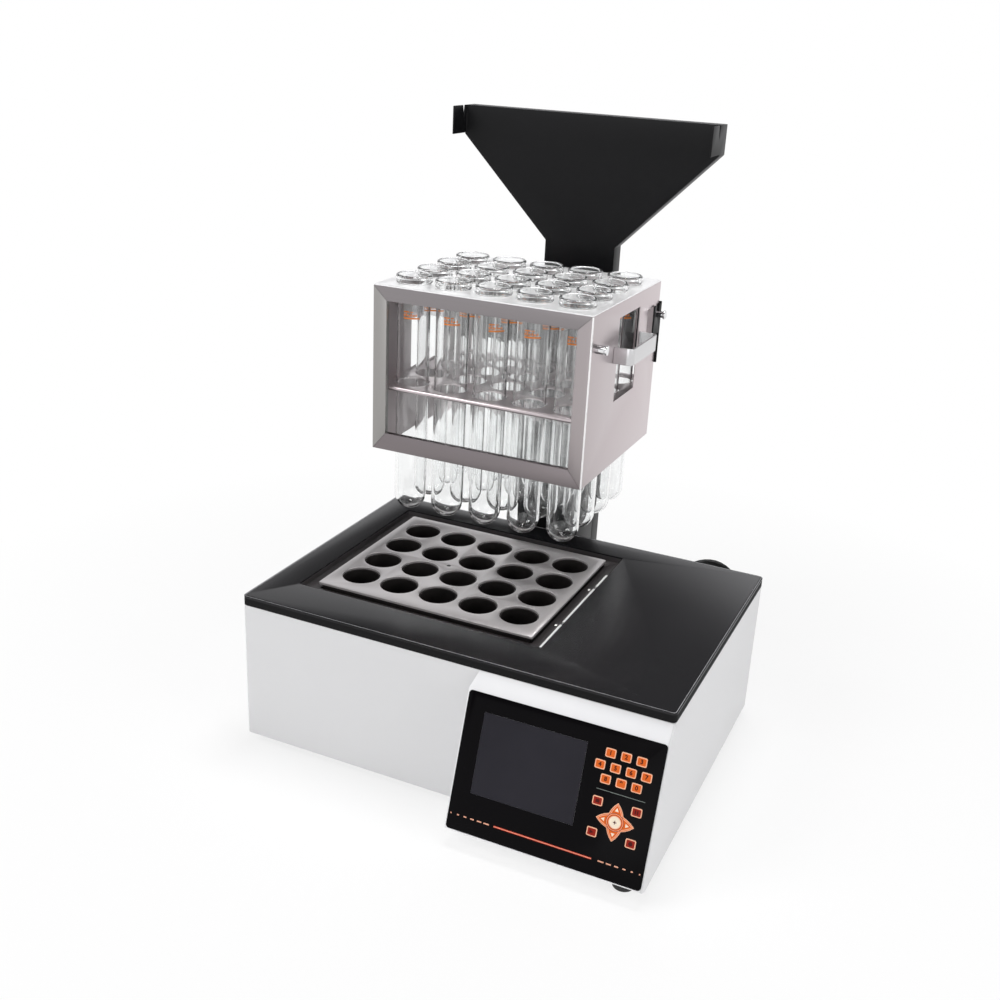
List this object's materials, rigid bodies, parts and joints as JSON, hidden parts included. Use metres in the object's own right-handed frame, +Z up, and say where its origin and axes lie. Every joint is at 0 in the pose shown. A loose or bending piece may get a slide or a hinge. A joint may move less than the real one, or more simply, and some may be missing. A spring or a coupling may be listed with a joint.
{
  "type": "block digester",
  "caption": "Low heated block digester with sloping console; a stainless rack of glass tubes with strap handles hangs on a black stand behind the block.",
  "frame": {"origin": "centre of the bounding box on the bench surface, mains lead left out", "axes": "+X to the operator's right, +Y to the rear, +Z up from the bench"},
  "size_m": [0.525, 0.6048, 0.7225],
  "materials": {
    "white_casing": "satin white powder coat",
    "zinc_sheet": "plain zinc-coated sheet",
    "black_cover": "satin black powder coat",
    "black_liner": "matt black",
    "bright_screw": "bright",
    "brushed_plate": "brushed along the width",
    "dark_block": "dark heat-stained",
    "heater_metal": "machined",
    "ceramic_post": "fired ceramic",
    "mineral_wool": "fibrous",
    "probe_steel": "fine ground",
    "white_console": "satin white powder coat",
    "gloss_overlay": "printed gloss film",
    "display_pane": "dark display",
    "circuit_board": "solder mask",
    "relay_sink": "extruded heat sink",
    "foot_rubber": "moulded rubber",
    "switch_black": "moulded",
    "rocker_red": "moulded",
    "gland_black": "moulded",
    "cord_black": "smooth sheath",
    "plug_black": "moulded",
    "stand_black": "satin black powder coat",
    "bolt_zinc": "zinc plated",
    "rack_steel": "brushed stainless",
    "handle_steel": "polished stainless",
    "pin_chrome": "turned and polished",
    "tube_glass": "clear blown glass"
  },
  "bodies": {
    "base": {"base_casing": "white_casing", "base_tray": "zinc_sheet", "top_cover": "black_cover", "well_liner": "black_liner", "ledge_screws": "bright_screw", "block_plate": "brushed_plate", "heating_block": "dark_block", "heater_plate": "heater_metal", "block_standoffs": "ceramic_post", "block_insulation": "mineral_wool", "temperature_probe": "probe_steel", "console_shell": "white_console", "keypad_overlay": "gloss_overlay", "display_window": "display_pane", "control_board": "circuit_board", "power_relay": "relay_sink", "feet": "foot_rubber", "switch_housing": "switch_black", "cord_gland": "gland_black", "mains_cord": "cord_black", "cord_coil": "cord_black", "cord_tail": "cord_black", "mains_plug": "plug_black", "stand_foot_box": "stand_black", "stand_post": "stand_black", "stand_back_plate": "stand_black", "rack_bracket": "stand_black", "stand_bolts": "bolt_zinc"},
    "rocker": {"power_rocker": "rocker_red"},
    "rack": {"rack_top_plate": "rack_steel", "rack_side_left": "rack_steel", "rack_side_right": "rack_steel", "rack_front_frame": "rack_steel", "rack_rear_frame": "rack_steel", "rack_shelf": "rack_steel", "rack_handle_left": "handle_steel", "rack_handle_right": "handle_steel", "rack_pins": "pin_chrome"},
    "tube_01": {"tube_01": "tube_glass"},
    "tube_02": {"tube_02": "tube_glass"},
    "tube_03": {"tube_03": "tube_glass"},
    "tube_04": {"tube_04": "tube_glass"},
    "tube_05": {"tube_05": "tube_glass"},
    "tube_06": {"tube_06": "tube_glass"},
    "tube_07": {"tube_07": "tube_glass"},
    "tube_08": {"tube_08": "tube_glass"},
    "tube_09": {"tube_09": "tube_glass"},
    "tube_10": {"tube_10": "tube_glass"},
    "tube_11": {"tube_11": "tube_glass"},
    "tube_12": {"tube_12": "tube_glass"},
    "tube_13": {"tube_13": "tube_glass"},
    "tube_14": {"tube_14": "tube_glass"},
    "tube_15": {"tube_15": "tube_glass"},
    "tube_16": {"tube_16": "tube_glass"},
    "tube_17": {"tube_17": "tube_glass"},
    "tube_18": {"tube_18": "tube_glass"},
    "tube_19": {"tube_19": "tube_glass"},
    "tube_20": {"tube_20": "tube_glass"}
  },
  "joints": [
    {"name": "rack_lift", "type": "slide", "parent": "base", "child": "rack", "axis": [0, 0, 1], "range_m": [0, 0.06]},
    {"name": "rocker_tilt", "type": "hinge", "parent": "base", "child": "rocker", "pos_m": [0.118, 0.13162, 0.146], "axis": [1, 0, 0], "range_deg": [0, 16]},
    {"name": "tube_01_lift", "type": "slide", "parent": "rack", "child": "tube_01", "axis": [0, 0, 1], "range_m": [0, 0.31]},
    {"name": "tube_02_lift", "type": "slide", "parent": "rack", "child": "tube_02", "axis": [0, 0, 1], "range_m": [0, 0.31]},
    {"name": "tube_03_lift", "type": "slide", "parent": "rack", "child": "tube_03", "axis": [0, 0, 1], "range_m": [0, 0.31]},
    {"name": "tube_04_lift", "type": "slide", "parent": "rack", "child": "tube_04", "axis": [0, 0, 1], "range_m": [0, 0.31]},
    {"name": "tube_05_lift", "type": "slide", "parent": "rack", "child": "tube_05", "axis": [0, 0, 1], "range_m": [0, 0.31]},
    {"name": "tube_06_lift", "type": "slide", "parent": "rack", "child": "tube_06", "axis": [0, 0, 1], "range_m": [0, 0.31]},
    {"name": "tube_07_lift", "type": "slide", "parent": "rack", "child": "tube_07", "axis": [0, 0, 1], "range_m": [0, 0.31]},
    {"name": "tube_08_lift", "type": "slide", "parent": "rack", "child": "tube_08", "axis": [0, 0, 1], "range_m": [0, 0.31]},
    {"name": "tube_09_lift", "type": "slide", "parent": "rack", "child": "tube_09", "axis": [0, 0, 1], "range_m": [0, 0.31]},
    {"name": "tube_10_lift", "type": "slide", "parent": "rack", "child": "tube_10", "axis": [0, 0, 1], "range_m": [0, 0.31]},
    {"name": "tube_11_lift", "type": "slide", "parent": "rack", "child": "tube_11", "axis": [0, 0, 1], "range_m": [0, 0.31]},
    {"name": "tube_12_lift", "type": "slide", "parent": "rack", "child": "tube_12", "axis": [0, 0, 1], "range_m": [0, 0.31]},
    {"name": "tube_13_lift", "type": "slide", "parent": "rack", "child": "tube_13", "axis": [0, 0, 1], "range_m": [0, 0.31]},
    {"name": "tube_14_lift", "type": "slide", "parent": "rack", "child": "tube_14", "axis": [0, 0, 1], "range_m": [0, 0.31]},
    {"name": "tube_15_lift", "type": "slide", "parent": "rack", "child": "tube_15", "axis": [0, 0, 1], "range_m": [0, 0.31]},
    {"name": "tube_16_lift", "type": "slide", "parent": "rack", "child": "tube_16", "axis": [0, 0, 1], "range_m": [0, 0.31]},
    {"name": "tube_17_lift", "type": "slide", "parent": "rack", "child": "tube_17", "axis": [0, 0, 1], "range_m": [0, 0.31]},
    {"name": "tube_18_lift", "type": "slide", "parent": "rack", "child": "tube_18", "axis": [0, 0, 1], "range_m": [0, 0.31]},
    {"name": "tube_19_lift", "type": "slide", "parent": "rack", "child": "tube_19", "axis": [0, 0, 1], "range_m": [0, 0.31]},
    {"name": "tube_20_lift", "type": "slide", "parent": "rack", "child": "tube_20", "axis": [0, 0, 1], "range_m": [0, 0.31]}
  ]
}
